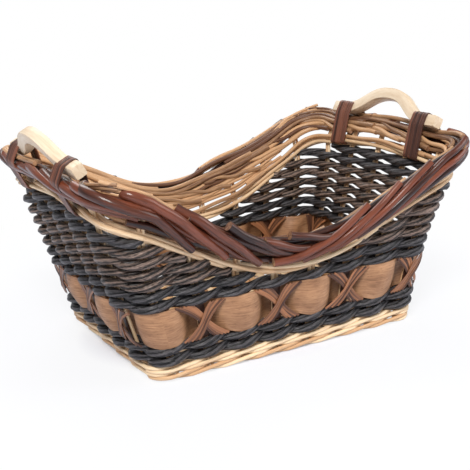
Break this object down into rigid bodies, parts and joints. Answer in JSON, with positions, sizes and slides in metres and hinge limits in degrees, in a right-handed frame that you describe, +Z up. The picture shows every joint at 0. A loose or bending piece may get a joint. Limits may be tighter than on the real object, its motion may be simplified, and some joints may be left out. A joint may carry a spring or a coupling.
{
  "type": "trug garden basket",
  "caption": "Boat-shaped trug basket with twined rope walls, a wide wood chip band, a saddle-shaped willow border and two lashed bentwood end handles",
  "frame": {"origin": "middle of the bounding box, at floor height", "axes": "X runs along the basket from handle to handle, Y across it, Z up"},
  "size_m": [0.3968, 0.2658, 0.209],
  "materials": {
    "buff_cane": "satin",
    "black_rope": "matte",
    "grey_rope": "matte",
    "chip_wood": "satin",
    "bark_strip": "satin",
    "stained_willow": "satin",
    "natural_willow": "satin",
    "bentwood": "satin",
    "floor_weave": "matte"
  },
  "bodies": {
    "root": {"base_sticks": "buff_cane", "base_weave": "floor_weave", "black_row_lower": "black_rope", "black_row_upper": "black_rope", "border_inner_lower": "natural_willow", "border_inner_middle": "natural_willow", "border_inner_upper": "natural_willow", "border_outer_lower": "stained_willow", "border_outer_middle": "stained_willow", "border_outer_upper": "stained_willow", "chip_band": "chip_wood", "foot_wale_lower": "buff_cane", "foot_wale_middle": "buff_cane", "foot_wale_upper": "buff_cane", "inner_cross_lashing": "bark_strip", "left_handle": "bentwood", "left_handle_front_lashing": "bark_strip", "left_handle_rear_lashing": "bark_strip", "left_row_2": "black_rope", "left_row_3": "grey_rope", "left_row_4": "grey_rope", "left_row_5": "grey_rope", "left_row_6": "grey_rope", "left_row_7": "black_rope", "left_row_8": "black_rope", "outer_cross_lashing": "bark_strip", "right_handle": "bentwood", "right_handle_front_lashing": "bark_strip", "right_handle_rear_lashing": "bark_strip", "right_row_2": "black_rope", "right_row_3": "grey_rope", "right_row_4": "grey_rope", "right_row_5": "grey_rope", "right_row_6": "grey_rope", "right_row_7": "black_rope", "right_row_8": "black_rope", "rim_wale_inner": "buff_cane", "rim_wale_outer": "buff_cane", "stakes_front": "buff_cane", "stakes_left": "buff_cane", "stakes_rear": "buff_cane", "stakes_right": "buff_cane", "wall_row_1": "black_rope"}
  },
  "joints": []
}
